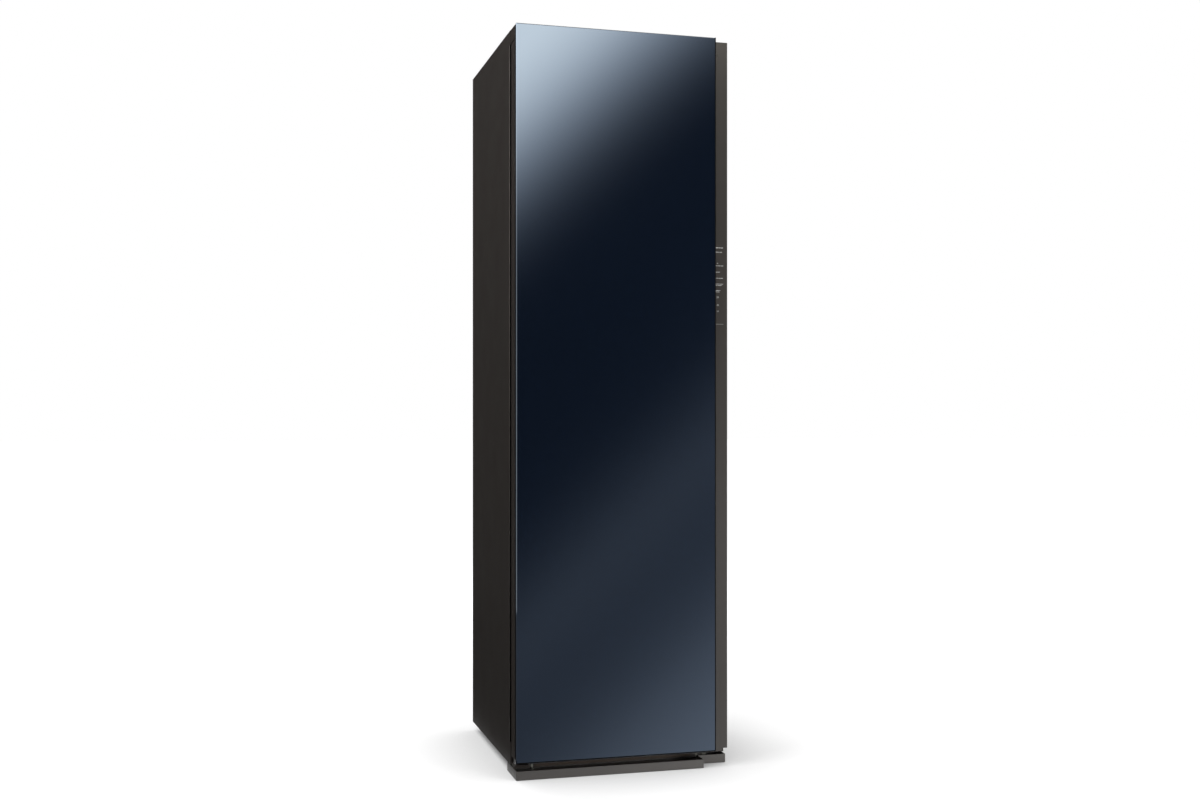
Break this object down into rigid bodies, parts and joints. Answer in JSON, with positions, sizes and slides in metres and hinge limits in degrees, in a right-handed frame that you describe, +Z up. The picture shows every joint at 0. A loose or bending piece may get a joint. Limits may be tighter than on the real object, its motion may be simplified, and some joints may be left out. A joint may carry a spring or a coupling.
{
  "type": "clothes care steam cabinet",
  "caption": "Tall free-standing clothes steam cabinet: mirror-glass door with a recessed grip strip, hanging chamber, slide-out water tanks and a stepped plinth tray.",
  "frame": {"origin": "middle of the footprint, on the floor", "axes": "+X to the viewer's right when facing the door, +Y to the back, +Z up; the door faces -Y"},
  "size_m": [0.595, 0.632, 1.96],
  "materials": {
    "cabinet_paint": "satin warm charcoal powder coat",
    "door_paint": "satin warm charcoal paint",
    "strip_paint": "fine satin metallic charcoal",
    "tray_paint": "satin moulded charcoal",
    "galvanised": "zinc-coated sheet",
    "bright_steel": "bright turned steel",
    "mirror_glass": "navy tinted mirror glass, polished bevel",
    "black_plastic": "matt black moulding",
    "liner_plastic": "pale grey vacuum-formed liner",
    "frame_plastic": "mid-grey moulding",
    "foam": "rigid insulating foam",
    "gasket_rubber": "soft magnetic seal",
    "rubber": "black rubber",
    "duct_plastic": "moulded duct plastic",
    "hanger_plastic": "pale grey moulding",
    "tank_clear": "smoky translucent plastic",
    "tank_front": "grey moulding",
    "fins": "bright fin stock",
    "compressor_black": "black enamel",
    "boiler_steel": "stainless tank",
    "board_green": "circuit board",
    "lamp": "frosted lens",
    "screen_mesh": "fine mesh"
  },
  "bodies": {
    "cabinet": {"left_side_panel": "cabinet_paint", "right_side_panel": "cabinet_paint", "top_panel": "cabinet_paint", "back_panel": "galvanised", "base_pan": "galvanised", "levelling_feet": "black_plastic", "foot_studs": "bright_steel", "base_tray": "tray_paint", "front_frame": "frame_plastic", "insulation_pads": "foam", "chamber_liner": "liner_plastic", "upper_hinge_bracket": "galvanised", "lower_hinge_bracket": "door_paint", "hinge_pins": "bright_steel", "top_hinge_cover": "door_paint", "ceiling_air_duct": "duct_plastic", "ceiling_fan_motor": "bright_steel", "air_grilles": "frame_plastic", "chamber_lamp": "lamp", "hanger_rails": "frame_plastic", "tank_bay": "duct_plastic", "lower_air_duct": "duct_plastic", "evaporator_coil": "fins", "condenser_coil": "fins", "blower_housing": "duct_plastic", "blower_motor": "bright_steel", "compressor": "compressor_black", "compressor_feet": "rubber", "steam_generator": "boiler_steel", "steam_hose": "rubber", "steam_nozzle": "frame_plastic", "water_pumps": "black_plastic", "control_box": "black_plastic", "control_board": "board_green", "cord_gland": "rubber"},
    "door": {"glass_panel": "mirror_glass", "panel_backing_frame": "black_plastic", "door_frame": "door_paint", "hinge_blocks": "black_plastic", "hinge_bushes": "black_plastic", "door_foam": "foam", "door_liner": "liner_plastic", "door_gasket": "gasket_rubber", "control_strip": "strip_paint", "touch_board": "board_green"},
    "water_tank_unit": {"water_tank": "tank_clear", "water_tank_lid": "tank_front", "water_tank_front": "tank_front"},
    "drain_tank_unit": {"drain_tank": "tank_clear", "drain_tank_lid": "tank_front", "drain_tank_front": "tank_front"},
    "lint_filter": {"lint_filter_frame": "frame_plastic", "lint_filter_screen": "screen_mesh"},
    "fragrance": {"fragrance_cartridge": "hanger_plastic"},
    "shelf": {"garment_shelf": "frame_plastic"},
    "hanger_left": {"air_hanger_left": "hanger_plastic"},
    "hanger_middle": {"air_hanger_middle": "hanger_plastic"},
    "hanger_right": {"air_hanger_right": "hanger_plastic"},
    "ceiling_fan": {"ceiling_fan_wheel": "black_plastic"},
    "blower": {"blower_wheel": "black_plastic"}
  },
  "joints": [
    {"name": "door_hinge", "type": "hinge", "parent": "cabinet", "child": "door", "pos_m": [-0.2855, -0.265, 0], "axis": [0, 0, -1], "range_deg": [0, 110]},
    {"name": "water_tank_slide", "type": "slide", "parent": "cabinet", "child": "water_tank_unit", "axis": [0, -1, 0], "range_m": [0, 0.125]},
    {"name": "drain_tank_slide", "type": "slide", "parent": "cabinet", "child": "drain_tank_unit", "axis": [0, -1, 0], "range_m": [0, 0.193]},
    {"name": "lint_filter_lift", "type": "slide", "parent": "cabinet", "child": "lint_filter", "axis": [0, 0, 1], "range_m": [0, 0.1]},
    {"name": "fragrance_lift", "type": "slide", "parent": "cabinet", "child": "fragrance", "axis": [0, 0, 1], "range_m": [0, 0.04]},
    {"name": "shelf_lift", "type": "slide", "parent": "cabinet", "child": "shelf", "axis": [0, 0, 1], "range_m": [0, 0.06]},
    {"name": "hanger_left_slide", "type": "slide", "parent": "cabinet", "child": "hanger_left", "axis": [0, -1, 0], "range_m": [0, 0.04]},
    {"name": "hanger_middle_slide", "type": "slide", "parent": "cabinet", "child": "hanger_middle", "axis": [0, -1, 0], "range_m": [0, 0.04]},
    {"name": "hanger_right_slide", "type": "slide", "parent": "cabinet", "child": "hanger_right", "axis": [0, -1, 0], "range_m": [0, 0.04]},
    {"name": "ceiling_fan_spin", "type": "hinge", "parent": "cabinet", "child": "ceiling_fan", "pos_m": [0, 0.1563, 1.794], "axis": [0, 0, 1], "continuous": true},
    {"name": "blower_spin", "type": "hinge", "parent": "cabinet", "child": "blower", "pos_m": [0, 0.2356, 0.338], "axis": [0, 1, 0], "continuous": true}
  ],
  "couplings": [
    {"joint": "water_tank_slide", "follows": "door_hinge", "m_per_rad": 0.065},
    {"joint": "drain_tank_slide", "follows": "door_hinge", "m_per_rad": 0.1}
  ]
}
